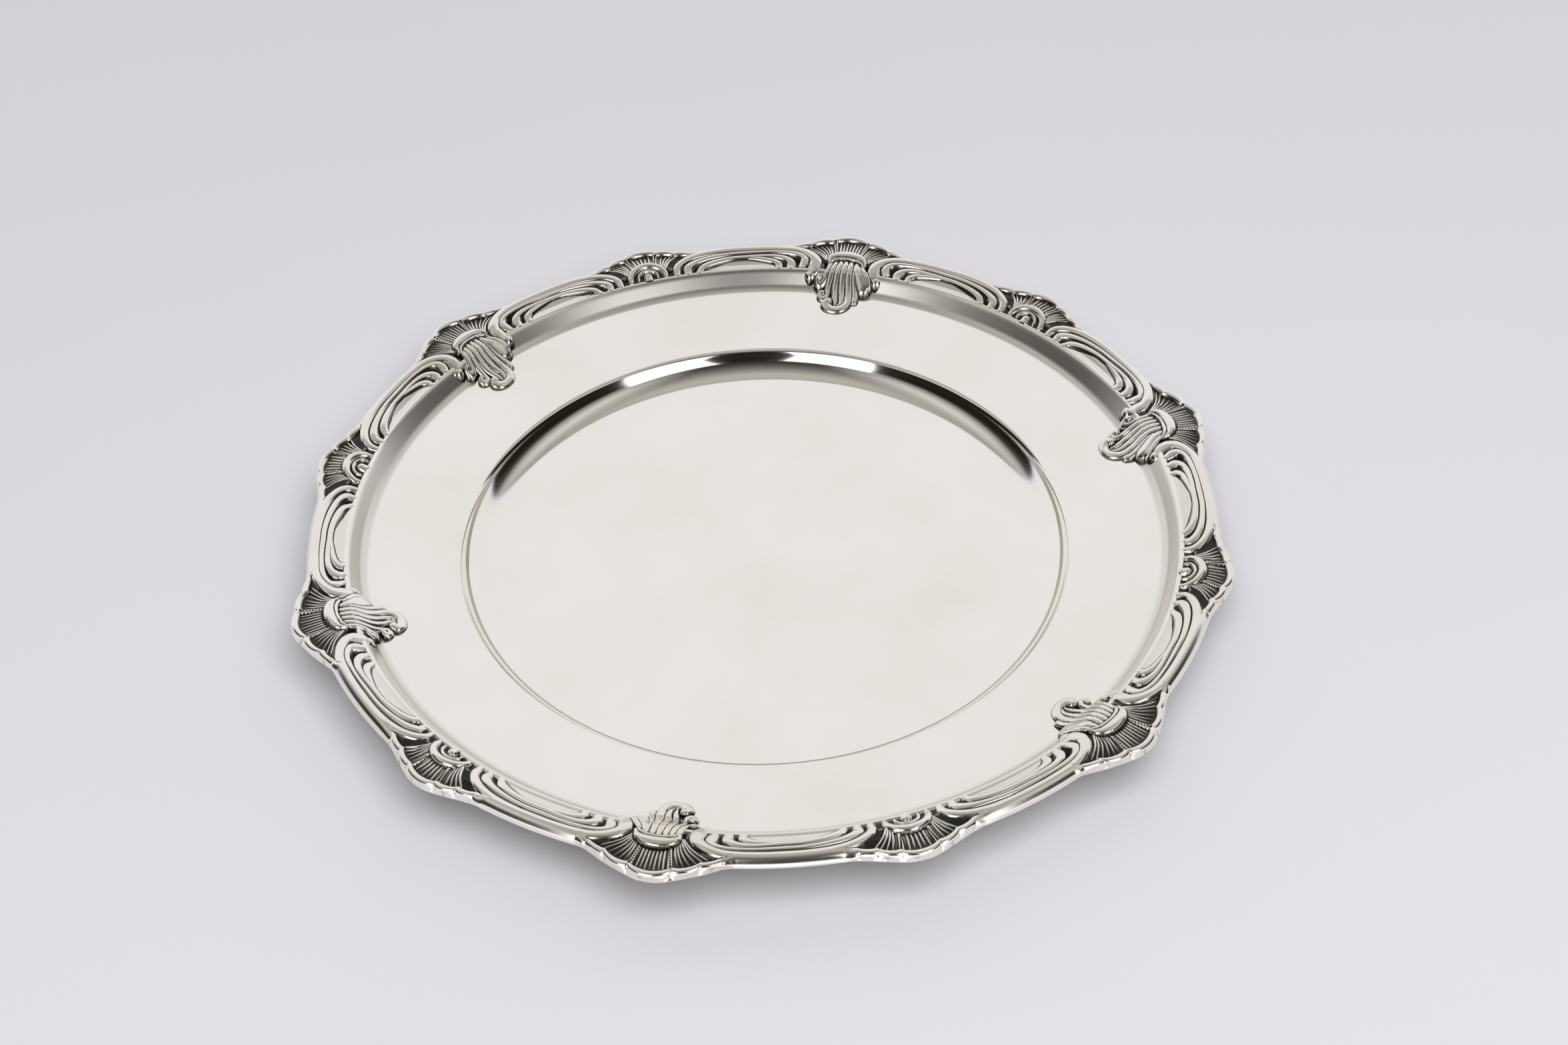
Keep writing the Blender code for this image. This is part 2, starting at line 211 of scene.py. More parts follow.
# The collar and the plume, in the same form.
COLLAR = [
    (-5.2, 119.3, 1.7, 0.5), (-4.6, 121.0, 2.2, 0.95), (-2.7, 122.1, 2.5, 1.4),
    (0.3, 122.5, 2.6, 1.6), (3.3, 122.1, 2.5, 1.4), (5.2, 121.0, 2.2, 0.95), (6.1, 119.2, 1.7, 0.5),
]
INNER_COLLAR = [
    (-5.0, 118.3, 1.2, 0.35), (-4.2, 119.5, 1.75, 0.5), (-2.3, 120.3, 2.0, 0.55),
    (0.3, 120.6, 2.05, 0.55), (2.9, 120.3, 2.0, 0.55), (4.9, 119.4, 1.75, 0.5),
    (5.9, 118.0, 1.2, 0.35),
]
COLLAR_DROP, INNER_COLLAR_DROP, LEAF_DROP = 0.95, 0.5, 0.95
# Leaf strands as rows of (along, radius, height above the leaf's own surface, half width).
STRANDS = [
    [
        (-4.2, 120.6, -0.1, 0.88), (-4.5, 118.0, 0.0, 0.99), (-5.0, 115.5, 0.0, 0.99),
        (-5.8, 113.3, 0.0, 0.94), (-6.9, 112.1, 0.1, 0.94), (-7.9, 112.4, 0.2, 0.94),
        (-8.0, 113.3, 0.4, 0.88), (-7.3, 113.7, 0.6, 0.82),
    ],
    [
        (-2.8, 120.9, 0.0, 0.94), (-3.1, 117.8, 0.1, 1.05), (-3.7, 114.8, 0.1, 1.11),
        (-4.2, 112.2, 0.1, 1.05), (-4.3, 110.0, 0.1, 0.94), (-4.6, 108.4, 0.2, 0.99),
        (-5.6, 107.8, 0.2, 1.05), (-6.5, 108.3, 0.3, 0.99), (-6.5, 109.2, 0.45, 0.94),
        (-5.8, 109.5, 0.6, 0.88),
    ],
    [
        (-1.3, 121.0, 0.1, 0.99), (-1.5, 117.5, 0.2, 1.11), (-1.9, 114.2, 0.2, 1.17),
        (-2.0, 111.2, 0.2, 1.11), (-1.5, 108.6, 0.15, 0.99), (-1.0, 106.9, 0.1, 0.82),
        (-1.0, 105.6, 0.0, 0.58),
    ],
    [
        (0.3, 121.0, 0.1, 0.99), (0.1, 117.2, 0.25, 1.17), (0.0, 113.8, 0.25, 1.23),
        (0.3, 110.6, 0.2, 1.17), (0.9, 108.2, 0.15, 0.99), (0.9, 106.4, 0.1, 0.82),
        (0.1, 105.4, 0.0, 0.58),
    ],
    [
        (1.9, 121.0, 0.1, 0.99), (1.8, 117.0, 0.2, 1.17), (2.0, 113.5, 0.25, 1.29),
        (2.7, 110.3, 0.25, 1.29), (3.2, 107.7, 0.3, 1.35), (2.6, 105.6, 0.4, 1.35),
        (1.0, 104.2, 0.4, 1.40), (-1.2, 103.8, 0.4, 1.40), (-3.1, 104.3, 0.55, 1.52),
        (-4.0, 105.4, 0.8, 1.58), (-3.6, 106.2, 1.0, 1.40),
    ],
    [
        (3.3, 117.0, -0.1, 0.7), (3.7, 114.0, 0.05, 0.9), (4.5, 111.4, 0.1, 1.05),
        (5.2, 109.2, 0.15, 1.15), (5.2, 107.9, 0.15, 1.1),
    ],
    [
        (3.4, 121.0, 0.0, 0.94), (3.8, 118.4, 0.1, 1.17), (4.7, 116.0, 0.2, 1.52),
        (5.9, 114.0, 0.35, 1.87), (6.9, 112.5, 0.45, 1.99),
    ],
    [
        (4.6, 120.7, -0.2, 0.64), (5.4, 118.0, 0.0, 0.88), (6.8, 115.8, 0.15, 1.11),
        (8.0, 114.2, 0.2, 1.17), (8.5, 113.0, 0.2, 1.11),
    ],
]


def stroke(east, north, path):
    """For each point: distance to the path over its half width there, and its crest height."""
    samples = smooth_path(path)
    x, y = flat(samples[:, 0], samples[:, 1])
    reach = samples[:, 3].max() * 2.2
    far_away = 9.0
    ratio = np.full(east.shape, far_away)
    crest = np.zeros(east.shape)
    near = (east > x.min() - reach) & (east < x.max() + reach)
    near &= (north > y.min() - reach) & (north < y.max() + reach)
    px, py = east[near], north[near]
    best = np.full(px.shape, far_away)
    height = np.zeros(px.shape)
    for start, end, x0, y0, x1, y1 in zip(samples, samples[1:], x, y, x[1:], y[1:]):
        dx, dy = x1 - x0, y1 - y0
        share = np.clip(((px - x0) * dx + (py - y0) * dy) / (dx * dx + dy * dy), 0, 1)
        width = start[3] + (end[3] - start[3]) * share
        gone = np.hypot(px - x0 - dx * share, py - y0 - dy * share) / width
        closer = gone < best
        best[closer] = gone[closer]
        height[closer] = (start[2] + (end[2] - start[2]) * share)[closer]
    ratio[near] = best
    crest[near] = height
    return ratio, crest


def rounded(ratio, crest, drop, flank=0.0):
    """A round-topped ridge: its crest, less `drop` by its half width and `flank` beyond it."""
    inside = np.clip(ratio, 0, 1)
    height = crest - drop * (1 - np.sqrt(1 - inside**2 * 0.98)) - flank * np.clip(ratio - 1, 0, 1)
    return np.where(ratio <= (2 if flank else 1), height, NOWHERE)


def steep_side(ratio, top, reach, slope):
    """The side of a ridge that stands free: from `top` at its half width down to `reach`."""
    return np.where(ratio < reach, top - slope * np.clip(ratio - 1, 0, 1), NOWHERE)


# Both shells. Lobes of the lip are (from, to, radius at both ends, crest radius), and the foot line
# is (offset from the middle, radius). The middle ribs fan out from rib_foot to rib_top, which are
# the outermost rib's offsets; the strip is given in the same way, and side ribs are (offset,
# radius) at both ends.
LARGE = {
    "lobes": [
        (-4.9, 4.9, 130.1, 130.1, 132.3), (4.9, 11.2, 130.1, 127.8, 130.05),
        (11.2, 16.2, 127.8, 125.7, 127.3),
    ],
    "foot_line": [
        (0, 133.3), (2, 133.2), (4, 132.6), (6, 131.7), (8, 130.9), (10, 130.1), (12, 129.2),
        (14, 128.2), (16, 127.3), (17.5, 127.0),
    ],
    "foot": 122.6, "ribs": 7, "rib_foot": 2.4, "rib_top": 3.2, "rib_end": 130.9,
    "strip_foot": 3.3, "strip_top": 4.75, "strip_end": 129.6,
    "side_ribs": [
        (4.4, 121.6, 6.1, 127.9), (4.8, 121.2, 7.4, 127.9), (5.2, 120.9, 8.8, 127.4),
        (5.6, 120.6, 10.4, 126.8), (5.9, 120.4, 12.2, 126.3), (6.2, 120.2, 14.0, 125.9),
    ],
}
SMALL = {
    "lobes": [
        (-4.6, 4.6, 128.3, 128.3, 130.0), (4.6, 9.8, 128.3, 126.5, 128.2),
        (9.8, 14.4, 126.5, 125.3, 126.4),
    ],
    "foot_line": [
        (0, 131.0), (2, 130.9), (4, 130.4), (6, 129.7), (8, 129.0), (10, 128.3), (12, 127.6),
        (14, 127.15), (15.5, 127.0),
    ],
    "foot": 123.0, "ribs": 5, "rib_foot": 2.0, "rib_top": 2.6, "rib_end": 128.5,
    "strip_foot": 3.5, "strip_top": 4.4, "strip_end": 127.3,
    "side_ribs": [
        (4.9, 121.6, 6.3, 126.4), (5.3, 120.9, 7.7, 126.1), (5.7, 120.4, 9.2, 125.7),
        (6.0, 120.0, 10.8, 125.4),
    ],
}
SHELL_LIP, SHELL_LIP_WIDTH = 1.5, 1.5
SMALL_SHELL_REACH = 14.6
SCROLL_CREST = 124.5
RIB_DROP, STRIP_DROP = 0.4, 0.35
# Every other rib ends a little short.
RIB_STAGGER = 0.6
PITS, PIT_DEPTH = 9, 0.4


def lobed(offset, lobes):
    """Crest radius of a shell's lip at an offset from its middle; the scroll's crest beyond it."""
    offset = np.abs(offset)
    last_end, last_low = lobes[-1][1], lobes[-1][3]
    radius = last_low + (SCROLL_CREST - last_low) * ease(last_end, last_end + 3.0, offset)
    for start, end, low_start, low_end, crest in lobes:
        share = (offset - start) / (end - start)
        low = low_start + (low_end - low_start) * share
        bulge = np.clip(np.sin(pi * np.clip(share, 0, 1)), 0, 1) ** 0.6
        rise = (crest - (low_start + low_end) / 2) * bulge
        radius = np.where((share >= 0) & (share <= 1), low + rise, radius)
    return radius


def crest_line(along):
    """Radius of the border's outer crest: the shells' lips and the scrolls' rolls."""
    large, small = lobed(along, LARGE["lobes"]), lobed(SMALL_SHELL_AT - along, SMALL["lobes"])
    return np.where(along < SMALL_SHELL_AT / 2, large, small)


def foot_line(along):
    """Radius of the border's outer foot, which has no lobes."""
    large = np.interp(along, *zip(*LARGE["foot_line"]))
    small = np.interp(SMALL_SHELL_AT - along, *zip(*SMALL["foot_line"]))
    return np.maximum(large, small)


def on_scroll(along):
    """From 0 on a shell to 1 on a scroll."""
    return ease(14.0, 19.0, along) * (1 - ease(SMALL_SHELL_AT - 17.0, SMALL_SHELL_AT - 12.5, along))


def inside_path(east, north, path):
    """True inside the loop that a path makes with the straight line between its ends."""
    samples = smooth_path(path)
    x, y = flat(samples[:, 0], samples[:, 1])
    inside = np.zeros(east.shape, dtype=bool)
    for at in range(len(x)):
        x1, y1, x0, y0 = x[at], y[at], x[at - 1], y[at - 1]
        crosses = (y0 > north) != (y1 > north)
        with np.errstate(divide="ignore", invalid="ignore"):
            inside ^= crosses & (east < (x1 - x0) * (north - y0) / (y1 - y0) + x0)
    return inside


def dish(radius, foot, edge):
    """Height of a shell's floor between its foot and its lip."""
    share = np.clip((radius - foot) / (edge - foot), 0, 1)
    return np.interp(share, (0, 0.15, 0.45, 0.8, 1.0), (0.75, 0.85, 0.6, 0.3, 0.35))


def fan_paths(shell):
    """Thin ribs of a shell's right half, as rows of (offset, radius, lift, half width)."""
    foot, end = shell["foot"], shell["rib_end"]
    paths = []
    for at in range(shell["ribs"] // 2, shell["ribs"]):
        share = 2 * at / (shell["ribs"] - 1) - 1
        low, top = shell["rib_foot"] * share, shell["rib_top"] * share
        tip = end - RIB_STAGGER * (at % 2)
        paths.append([
            (low, foot - 1.0, 0.4, 0.36), (low * 1.05, foot + 1.5, 0.5, 0.36),
            ((low + top) / 2, (foot + tip) / 2 + 0.6, 0.45, 0.33), (top, tip, 0.15, 0.24),
        ])
    for low, low_radius, top, top_radius in shell["side_ribs"]:
        middle = low + (top - low) * 0.36
        half_way = low_radius + (top_radius - low_radius) * 0.55
        paths.append([
            (low, low_radius, 0.4, 0.33), (middle, half_way, 0.48, 0.34),
            (top, top_radius + 0.5, 0.15, 0.24),
        ])
    return paths


def strip_path(shell):
    """The raised strip between two lobes of a shell, in the same form."""
    first, last, end = shell["strip_foot"], shell["strip_top"], shell["strip_end"]
    foot = shell["foot"]
    return [
        (first, foot - 1.6, 0.45, 0.4), ((first * 2 + last) / 3, (foot * 2 + end) / 3, 0.6, 0.52),
        (last, end + 0.9, 0.7, 0.72),
    ]


def add_shell(shell, middle, east, north, along, radius, edge, height, oxide):
    """Raises one shell's dish, ribs, beaded strip and lip where they stand above the rest."""
    foot = shell["foot"]
    offset = np.abs(along - middle)
    floor = dish(radius, foot - 1.0, edge)
    relief = floor.copy()

    def lifted(path):
        """A path on the dish, with its heights counted from the lip's plane."""
        rows = []
        for side, ring, lift, half in path:
            crest = lift + float(dish(np.array(ring), foot - 1.0, ring + 2.0))
            rows.append((abs(middle - side), ring, crest, half))
        return rows

    for path in fan_paths(shell):
        ratio, crest = stroke(east, north, lifted(path))
        relief = np.maximum(relief, rounded(ratio, crest, RIB_DROP))
    ratio, crest = stroke(east, north, lifted(strip_path(shell)))
    strip = np.where(ratio < 1, crest - STRIP_DROP * np.clip(ratio, 0, 1) ** 6, NOWHERE)
    relief = np.maximum(relief, strip)
    from_lip = (edge - radius) / SHELL_LIP_WIDTH
    lip = np.where(from_lip < 1, SHELL_LIP - 1.1 * np.clip(from_lip, 0, 1) ** 3, NOWHERE)
    relief = np.maximum(relief, lip)

    # The floor between the ribs is darkest towards the lip and at the sides.
    outward = ease(0.25, 0.75, (radius - foot) / (shell["rib_end"] - foot))
    deep = 0.35 + 0.55 * np.maximum(outward, ease(4.0, 6.5, offset) * 1.15)
    dark = (1 - ease(0.02, 0.3, relief - floor)) * deep

    # A row of dark pits makes the strip a string of beads.
    first, last, end = shell["strip_foot"], shell["strip_top"], shell["strip_end"]
    for share in np.arange(PITS) / (PITS - 1):
        spot = abs(middle - (first + (last - first) * share))
        x, y = flat(spot, foot + 0.6 + (end - foot - 0.5) * share)
        gone = np.hypot(east - x, north - y) / (0.17 + 0.16 * share)
        relief = relief - PIT_DEPTH * np.exp(-(gone**4))
        dark = np.maximum(dark, np.exp(-((gone * 0.85) ** 6)))
    higher = relief > height
    oxide[higher] = dark[higher]
    height[higher] = relief[higher]


def raise_ridges(grid, fields, paths, drop, owned, flank=0.0):
    """Raises round ridges over (height, oxide, owner) wherever they stand above what is there."""
    height, oxide, owner = fields
    for path in paths:
        ratio, crest = stroke(*grid, path)
        ridge = rounded(ratio, crest, drop, flank)
        higher = ridge > height
        height[higher] = ridge[higher]
        oxide[higher] = ease(0.85, 1.5, ratio[higher])
        owner[higher] = owned


def small_shell_path(half, both_sides=True):
    """A path round the small shell's middle, from the half that ends there."""
    path = [(SMALL_SHELL_AT - row[0], *row[1:]) for row in half]
    if both_sides:
        path += [(SMALL_SHELL_AT + row[0], *row[1:]) for row in half[-2::-1]]
    return path


def symmetric_relief(along, radius, edge):
    """Everything that repeats in a mirror: both shells, the scrolls, the arch and its bead."""
    grid = flat(along, radius)
    in_scroll = inside_path(*grid, SCROLL_EDGE)
    in_panel = inside_path(*grid, SCROLL_PANEL)
    outside = ~in_scroll & (radius > SHELL_GROUND[0][0])
    height = np.where(outside, np.interp(radius, *SHELL_GROUND), np.interp(radius, *LIP_GROUND))
    height = np.where(in_scroll, np.interp(radius, *SCROLL_GROUND), height)
    height = np.where(in_panel, np.interp(radius, *PANEL_GROUND), height)
    oxide = np.where(in_panel, PANEL_OXIDE, GROUND_OXIDE)
    near_large = along < SMALL_SHELL_AT / 2
    owner = np.where(near_large, LARGE_SHELL, SMALL_SHELL)
    owner = np.where(in_scroll | in_panel, RIGHT_SCROLL, owner)

    fan = ~in_scroll & (radius > FAN_START)
    shells = ((LARGE, 0.0, fan & near_large), (SMALL, SMALL_SHELL_AT, fan & ~near_large))
    for shell, middle, zone in shells:
        parts = [part[zone] for part in (*grid, along, radius, edge, height, oxide)]
        add_shell(shell, middle, *parts)
        height[zone], oxide[zone] = parts[-2:]

    fields = (height, oxide, owner)
    strands = [SCROLL_INNER, SCROLL_MIDDLE, SCROLL_HOOK]
    raise_ridges(grid, fields, strands, STRAND_DROP, RIGHT_SCROLL, STRAND_FLANK)
    raise_ridges(grid, fields, [SCROLL_EDGE], EDGE_DROP, RIGHT_SCROLL, EDGE_FLANK)

    opening = small_shell_path(ARCH, both_sides=False) + [(SMALL_SHELL_AT + 0.3, 117.0, 0, 1)]
    under_arch = inside_path(*grid, opening)
    height[under_arch] = np.interp(radius, *ARCH_GROUND)[under_arch]
    oxide[under_arch] = ARCH_OXIDE
    owner[under_arch] = SMALL_SHELL
    raise_ridges(grid, fields, [small_shell_path(RING)], RING_DROP, SMALL_SHELL)
    raise_ridges(grid, fields, [small_shell_path(BEAD, both_sides=False)], BEAD_DROP, SMALL_SHELL)
    raise_ridges(grid, fields, [small_shell_path(ARCH)], ARCH_DROP, SMALL_SHELL)
    return fields


def leaf_surface(radius):
    """Height that the plume's strands lie at: they bridge the cove and then lie on the rim."""
    return np.interp(
        radius,
        (101, 103.4, 105, 107, 109, 110.5, 112, 113.5, 115, 116.5, 118, 121, 124),
        (-5.7, -5.2, -4.95, -4.55, -4.0, -3.3, -2.3, -1.1, 0.1, 0.8, 1.1, 1.35, 1.45),
    )


def add_plume(along, radius, height, oxide, owner):
    """Raises the collar and the leaf strands over whatever lies below them."""
    grid = flat(along, radius)

    def raise_over(ridge, stain):
        higher = ridge > height
        height[higher] = ridge[higher]
        oxide[higher] = stain[higher]
        owner[higher] = PLUME

    lying = leaf_surface(radius)
    for path in STRANDS:
        ratio, crest = stroke(*grid, path)
        side = steep_side(ratio, crest + lying - 0.82, 1.4, 5.0)
        strand = np.maximum(rounded(ratio, crest + lying, LEAF_DROP), side)
        raise_over(strand, ease(0.9, 1.1, ratio) * 0.7)
    for path, drop in ((INNER_COLLAR, INNER_COLLAR_DROP), (COLLAR, COLLAR_DROP)):
        ratio, crest = stroke(*grid, path)
        raise_over(rounded(ratio, crest, drop), ease(0.88, 1.02, ratio) * 0.7)


def blurred(values, reach):
    """A smooth average over a grid, by three passes of a running mean along each axis."""
    result = values.astype(float)
    for axis in (0, 1):
        for _ in range(3):
            padding = [(0, 0), (0, 0)]
            padding[axis] = (reach + 1, reach)
            padded = np.pad(result, padding, mode="reflect", reflect_type="odd")
            total = np.cumsum(padded, axis=axis)
            span = 2 * reach + 1
            if axis == 0:
                result = (total[span:] - total[:-span]) / span
            else:
                result = (total[:, span:] - total[:, :-span]) / span
    return result


# ---------------------------------------------------------------- meshes


def points_at(along, radius, height):
    """Points in metres, in the shared frame."""
    east, north = flat(along, radius)
    return np.stack(np.broadcast_arrays(east, north, height + LIP_HEIGHT), axis=-1) * MM


def grid_faces(rows, columns):
    """Quads of a grid of rows by columns, wound so that they face up."""
    index = np.arange(rows * columns).reshape(rows, columns)
    corners = (index[:-1, :-1], index[1:, :-1], index[1:, 1:], index[:-1, 1:])
    return np.stack(corners, axis=-1).reshape(-1, 4)


def make_mesh(name, points, faces, oxide):
    """A smooth mesh of only the points its faces use, with its oxide, painted shade and painted
    reflection as an attribute.
    """
    used = np.unique(faces)
    renumber = np.zeros(len(points), dtype=np.int32)
    renumber[used] = np.arange(len(used))
    corners = renumber[faces].astype(np.int32)
    mesh = bpy.data.meshes.new(name)
    mesh.vertices.add(len(used))
    mesh.vertices.foreach_set("co", points[used].ravel())
    mesh.loops.add(corners.size)
    mesh.loops.foreach_set("vertex_index", corners.ravel())
    mesh.polygons.add(len(corners))
    mesh.polygons.foreach_set("loop_start", np.arange(len(corners), dtype=np.int32) * 4)
    mesh.update(calc_edges=True)
    stain = mesh.attributes.new("finish_and_shade", "FLOAT", "POINT")
    stain.data.foreach_set("value", oxide[used].astype(np.float32))
    mesh.shade_smooth()
    mesh.validate()
    return mesh


def sided(owner, signed):
    """The owners of both halves: left of the large shell, the scroll is the left one."""
    return np.where((owner == RIGHT_SCROLL) & (signed < 0), LEFT_SCROLL, owner)


def leaf_grid(signed):
    """Along, radius, height, oxide and owner inside the cove's edge, with the scrolls' ends."""
    radius = np.linspace(LEAF_TIP, COVE_EDGE, LEAF_ROWS)[:-1, None] + 0 * signed
    along = np.broadcast_to(signed, radius.shape)
    height = body_height(radius) - 0.5
    oxide = np.ones(radius.shape)
    owner = np.full(radius.shape, BARE_RIM)
    for side, owned in ((1, RIGHT_SCROLL), (-1, LEFT_SCROLL)):
        ratio, crest = stroke(*flat(along * side, radius), SCROLL_EDGE)
        drop = EDGE_DROP + 1.5 * ease(COVE_EDGE, COVE_EDGE - 2.2, radius)
        side_wall = steep_side(ratio, crest - 0.86 * drop, 1.2, 8.0)
        scroll_end = np.maximum(rounded(ratio, crest, drop), side_wall)
        higher = scroll_end > height
        height[higher] = scroll_end[higher]
        oxide[higher] = ease(0.85, 1.0, ratio[higher])
        owner[higher] = owned
    return along, radius, height, oxide, owner


def border_grids():
    """One repeat of the border as two grids of points: the cast band and the leaf inside it."""
    extra = COLUMNS_PER_HALF // 3
    column = np.arange(-COLUMNS_PER_HALF, COLUMNS_PER_HALF + extra + 1)
    signed = column * COLUMN
    crest = crest_line(folded(signed))
    share = np.linspace(0, 1, OUTER_ROWS)[:, None]
    radius = COVE_EDGE + (crest - COVE_EDGE) * share

    # The relief is worked out to the right of the large shell, and repeated in a mirror.
    half = slice(COLUMNS_PER_HALF, 2 * COLUMNS_PER_HALF + 1)
    along = np.broadcast_to(folded(signed), radius.shape)
    edge = np.broadcast_to(crest, radius.shape)
    parts = symmetric_relief(along[:, half], radius[:, half], edge[:, half])
    order = np.abs(column)
    order = np.where(order > COLUMNS_PER_HALF, 2 * COLUMNS_PER_HALF - order, order)
    height, oxide, owner = (part[:, order] for part in parts)
    owner = sided(owner, signed)

    # The crest's height is evened along the border, so that shells pass into scrolls.
    even = blurred(height[-1:].repeat(3, axis=0), 5)[1] - height[-1]
    height[-EVENED_ROWS:] += even * ease(0, 1, np.linspace(0.1, 1, EVENED_ROWS))[:, None]

    # The two grids meet on one row, so the plume is raised on both at once.
    near = np.abs(signed) < LEAF_REACH
    band = (np.broadcast_to(signed, radius.shape), radius, height, oxide, owner)
    inner = leaf_grid(signed[near])
    both = [np.vstack([leaf, outer[:, near]]) for leaf, outer in zip(inner, band)]
    add_plume(*both)
    for outer, joined in zip((height, oxide, owner), both[2:]):
        outer[:, near] = joined[LEAF_ROWS - 1 :]
    return signed, band, [joined[:LEAF_ROWS] for joined in both]


# The distance from one hollow of the shells' walls to the next.
FLUTE = 3.1


def flutes(signed):
    """Uneven hollows round the shells' walls, from 0 to 1."""
    even = (1 - np.cos(signed / FLUTE * tau)) / 2
    return (1 - on_scroll(folded(signed))) * even * (0.55 + 0.45 * np.sin(signed * 0.83))


# The outer edge of a shell, and what a scroll adds to it: how far it turns out, how far it falls
# meanwhile, and the height of the wall's foot. Below it the edge goes in under the castings.
TURN_OUT, TURN_FALL, WALL_FOOT = (0.85, 1.55), (1.1, 1.65), (-1.15, 0.45)
TURN_DEGREES, TURN_ROWS, WALL_ROWS = 76, 10, 7
UNDERSIDE = (120.4, -1.15)
# The flutes' stain is painted reflection: grey stripes down the shells' walls.
FLUTE_DEPTH, FLUTE_PAINTED_REFLECTION, UNDERSIDE_DARKENING = 0.2, 0.3, 0.25


def rolled_rows(signed, top, crest):
    """Rows (radius, height, oxide, with painted reflection stripes in the wall's flutes) over the
    relief's crest, down its wall and back under it.
    """
    along = folded(signed)
    scroll = on_scroll(along)
    edge = foot_line(along)
    turned, fall, foot = (shell + more * scroll for shell, more in (TURN_OUT, TURN_FALL, WALL_FOOT))
    fluted = flutes(signed) * FLUTE_DEPTH
    # The rows turned in under the edge are given a darker colour.
    clean, dark = 0 * signed, 0 * signed + UNDERSIDE_DARKENING
    rows = []
    for turn in np.radians(np.linspace(0, TURN_DEGREES, TURN_ROWS + 1)[1:]):
        out = np.minimum(top + turned * sin(turn), edge)
        rows.append((out, crest - fall * (1 - cos(turn)), clean))
    out, start = rows[-1][:2]
    for share in np.linspace(0, 1, WALL_ROWS + 1)[1:]:
        tuck = fluted * sin(pi * min(share * 1.1, 1))
        wall = out + (edge - out) * share**0.7 - tuck
        # Painted reflection: the flutes are given grey stripes.
        rows.append((wall, start + (foot - start) * share, FLUTE_PAINTED_REFLECTION * flutes(signed) ** 2))
    rows.append((edge - 0.65, foot - 0.05, dark))
    rows.append((0 * edge + UNDERSIDE[0], 0 * foot + UNDERSIDE[1], dark))
    return rows


def tarnish(height, oxide):
    """Oxide from 0 to 1: what a shape was given, more in the grooves and hollows, less on top."""
    groove = blurred(height, 1) - height
    hollow = blurred(height, 5) - height
    stained = np.maximum(ease(0.006, 0.05, groove), ease(0.06, 0.4, hollow)) * 0.95
    worn = ease(0.0, 0.25, -hollow)
    return np.clip(np.maximum(oxide, stained) * (1 - 0.6 * worn), 0, 1)


def border_meshes():
    """The five castings of one repeat, cut from the relief where one passes to the next."""
    signed, (around, radius, height, oxide, owner), leaf = border_grids()
    grids, stains_and_reflections, owners = [points_at(around, radius, height)], [tarnish(height, oxide)], [owner]
    along = folded(signed)
    edge_owner = np.where(along > SMALL_SHELL_AT - SMALL_SHELL_REACH, SMALL_SHELL, RIGHT_SCROLL)
    edge_owner = np.where(along < LARGE["lobes"][-1][1], LARGE_SHELL, edge_owner)
    edge_owner = sided(edge_owner, signed)
    # The edge rows carry the painted reflection stripes of the flutes.
    for row_radius, row_height, row_oxide_and_reflection in rolled_rows(signed, radius[-1], height[-1]):
        grids.append(points_at(signed, row_radius, row_height)[None])
        stains_and_reflections.append(row_oxide_and_reflection[None])
        owners.append(edge_owner[None])
    points, stain = np.vstack(grids).reshape(-1, 3), np.vstack(stains_and_reflections)
    faces = grid_faces(*stain.shape)
    face_owner = np.vstack(owners).ravel()[faces[:, 0]]

    # The small shell lies over the end of the repeat; all else beyond the end is the next one's.
    column = faces[:, 0] % len(signed)
    beyond = (column >= 2 * COLUMNS_PER_HALF) & (face_owner != SMALL_SHELL)
    before = (column < COLUMNS_PER_HALF) & (face_owner == SMALL_SHELL)
    keep = ~beyond & ~before

    leaf_along, leaf_radius, leaf_height, leaf_oxide, leaf_owner = leaf
    leaf_stain = tarnish(leaf_height - leaf_surface(leaf_radius), leaf_oxide)
    leaf_points = points_at(leaf_along, leaf_radius, leaf_height).reshape(-1, 3)
    leaf_faces = grid_faces(*leaf_along.shape)
    leaf_face_owner = leaf_owner.ravel()[leaf_faces].max(axis=1)

    points, leaf_faces = np.vstack([points, leaf_points]), leaf_faces + len(points)
    stain = np.concatenate([stain.ravel(), leaf_stain.ravel()])
    meshes = {}
    for owned, name, _ in CASTINGS:
        own_faces = faces[keep & (face_owner == owned)]
        own_leaf = leaf_faces[leaf_face_owner == owned]
        meshes[name] = make_mesh(name, points, np.vstack([own_faces, own_leaf]), stain)
    return meshes


def body_mesh():
    """The spun body as one sheet, turned from its upper line and the same line a sheet lower."""
    floor = BODY_TOP[0, 1]
    top = np.vstack([[(0.0, floor), (30.0, floor), (60.0, floor)], BODY_TOP])
    slope = np.gradient(top, axis=0)
    slope /= np.linalg.norm(slope, axis=1)[:, None]
    under = top + np.stack([slope[:, 1], -slope[:, 0]], axis=1) * SHEET
    under[0, 0] = 0.0
    under = under[top[:, 0] < FLANGE_FOLD]
    line = np.vstack([top, FLANGE_EDGE, under[::-1]])
    turns = np.append(np.arange(BODY_STEPS) / BODY_STEPS * tau * BEAD_RADIUS, 0.0)
    points = points_at(turns[:, None], line[None, :, 0], line[None, :, 1])
    index = np.arange(points[..., 0].size).reshape(points.shape[:2])
    index[-1] = index[0]
    corners = (index[:-1, :-1], index[:-1, 1:], index[1:, 1:], index[1:, :-1])
    faces = np.stack(corners, axis=-1).reshape(-1, 4)
    # The cove's band: rougher, and its colour painted darker as shade.
    satin_and_shade = np.broadcast_to(np.interp(line[:, 0], *SATIN_AND_SHADE_BAND), index.shape)
    return make_mesh("body", points.reshape(-1, 3), faces[:, ::-1], satin_and_shade.ravel())


# ---------------------------------------------------------------- materials


